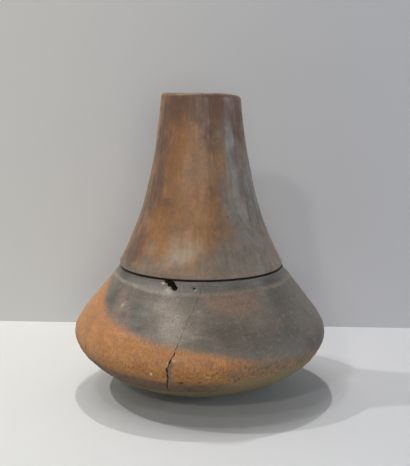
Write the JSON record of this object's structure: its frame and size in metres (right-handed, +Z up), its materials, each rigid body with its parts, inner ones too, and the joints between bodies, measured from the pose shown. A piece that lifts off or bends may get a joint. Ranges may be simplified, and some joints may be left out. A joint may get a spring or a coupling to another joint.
{
  "type": "milk jug",
  "caption": "Clay milk jug: a wide lens-shaped bowl on a small flat foot, under a tall flared neck that lifts off its packed seam.",
  "frame": {"origin": "centre of the foot's flat underside", "axes": "+Z up along the jug's axis; -Y towards the picture's viewer and +X to the viewer's right, so the broken rim is at the front left"},
  "size_m": [0.255, 0.255, 0.3],
  "materials": {
    "fire_clouded_clay": "satin",
    "burnished_clay": "satin",
    "resin_packing": "matte"
  },
  "bodies": {
    "bowl": {"bowl_body": "fire_clouded_clay", "seam_lute": "resin_packing"},
    "neck": {"neck": "burnished_clay"}
  },
  "joints": [
    {"name": "neck_lift", "type": "slide", "parent": "bowl", "child": "neck", "axis": [0, 0, 1], "range_m": [0, 0.08]}
  ]
}
